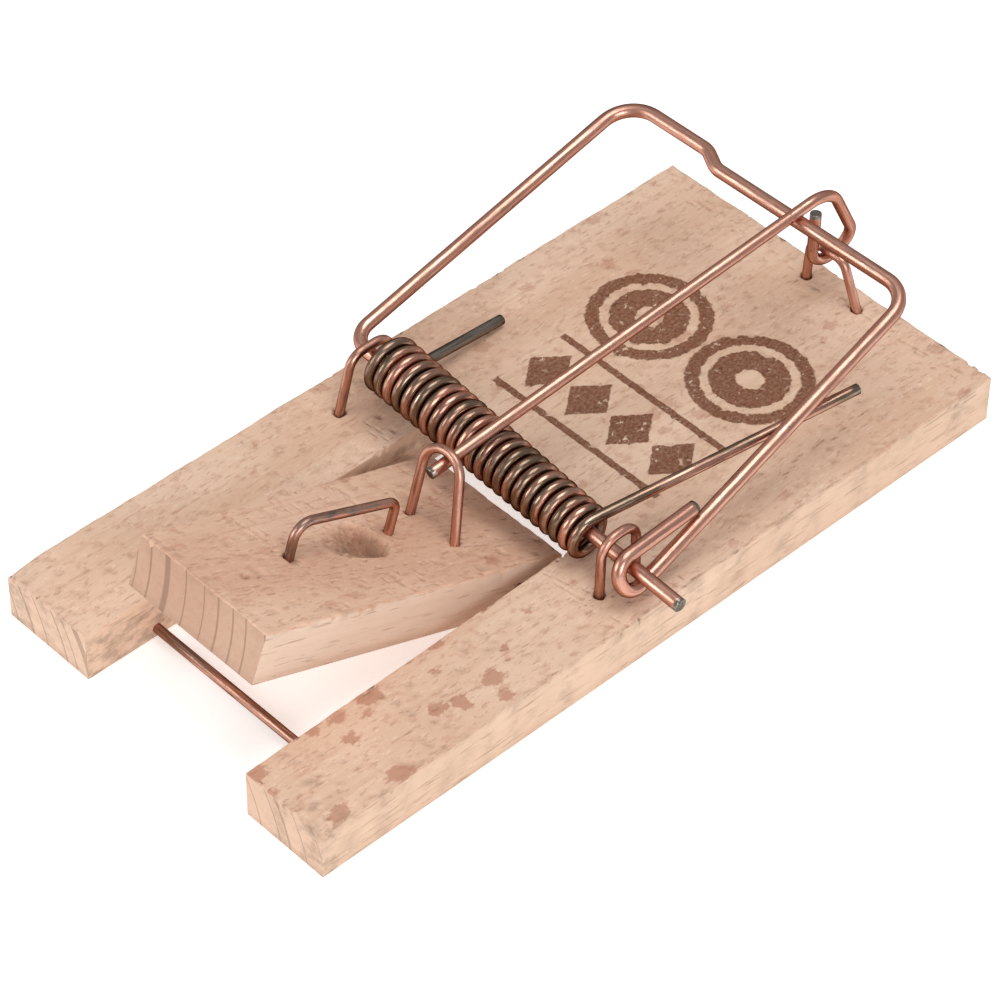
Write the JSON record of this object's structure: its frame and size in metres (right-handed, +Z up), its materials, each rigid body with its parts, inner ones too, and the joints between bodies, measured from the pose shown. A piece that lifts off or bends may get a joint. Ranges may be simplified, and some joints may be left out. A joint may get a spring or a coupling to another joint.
{
  "type": "snap mouse trap",
  "caption": "Wooden snap mouse trap in its set position: a sprung wire hammer held down by a bar whose end is caught on a tilting wooden bait treadle",
  "frame": {"origin": "on the board's underside, mid way across it, 25 mm behind the middle of its length, under the solid half behind the slot", "axes": "+X across the board towards the end of the axle that stands out, +Y along the board towards its back edge, +Z up"},
  "size_m": [0.0521, 0.0957, 0.0223],
  "materials": {
    "board_wood": "bare beech, worn at the edges",
    "treadle_wood": "bare beech",
    "pin_wire": "dull drawn wire",
    "hammer_wire": "copper-washed drawn steel wire",
    "spring_wire": "copper-washed spring steel, worn grey",
    "bar_wire": "copper-washed drawn steel wire",
    "staple_wire": "copper-washed steel wire"
  },
  "bodies": {
    "base": {"board": "board_wood", "treadle_pin": "pin_wire", "stop_wire": "pin_wire", "left_axle_staple": "staple_wire", "right_axle_staple": "staple_wire", "back_staple": "staple_wire", "spring": "spring_wire"},
    "hammer_body": {"hammer": "hammer_wire"},
    "bar_body": {"hold_down_bar": "bar_wire"},
    "treadle_body": {"treadle": "treadle_wood", "arch_staple": "staple_wire", "bait_staple": "staple_wire"}
  },
  "joints": [
    {"name": "hammer_swing", "type": "hinge", "parent": "base", "child": "hammer_body", "pos_m": [0, -0.0278, 0.01065], "axis": [0.9992, -0.0227, -0.0332], "range_deg": [0, 168], "deforming": ["spring"]},
    {"name": "bar_lift", "type": "hinge", "parent": "base", "child": "bar_body", "pos_m": [0.0021, 0.0198, 0.0114], "axis": [-1, 0, 0], "range_deg": [0, 135]},
    {"name": "treadle_tilt", "type": "hinge", "parent": "base", "child": "treadle_body", "pos_m": [0.0005, -0.034, 0.003], "axis": [1, 0, 0], "range_deg": [0, 17.5]}
  ],
  "couplings": [
    {"joint": "treadle_tilt", "follows": "hammer_swing", "ratio": 0.10417}
  ]
}
